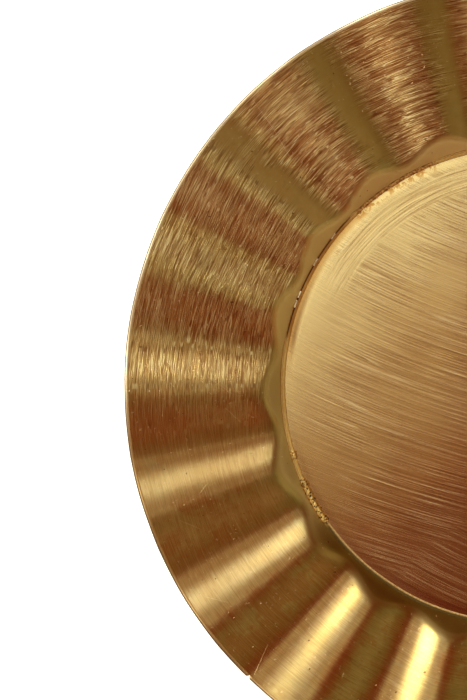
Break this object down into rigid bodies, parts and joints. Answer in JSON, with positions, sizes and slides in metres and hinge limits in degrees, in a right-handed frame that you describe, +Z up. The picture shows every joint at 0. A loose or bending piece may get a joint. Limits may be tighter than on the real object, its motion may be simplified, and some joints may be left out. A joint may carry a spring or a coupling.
{
  "type": "fluted tray",
  "caption": "Round brass tray: a fluted rim sheet with a scalloped crease, a soldered-in floor disc and a wired edge.",
  "frame": {"origin": "centre of the flat ring that the tray rests on, at table height", "axes": "+Z up, out of the well; the wire's butt joint is in the -X -Y quarter, at 226 degrees counter-clockwise from +X seen from above"},
  "size_m": [0.329, 0.329, 0.0314],
  "materials": {
    "rim_brass": "coarsely brushed round the rim, left smooth in the flutes' troughs and on the well's wall, tarnished",
    "floor_brass": "brushed in long curved strokes, tarnished amber near the seam",
    "solder": "lumpy brazing with pits and brown flux residue",
    "wire_brass": "worn bright on top"
  },
  "bodies": {
    "root": {"fluted_rim": "rim_brass", "floor_disc": "floor_brass", "solder_fillet": "solder", "edge_wire": "wire_brass"}
  },
  "joints": []
}
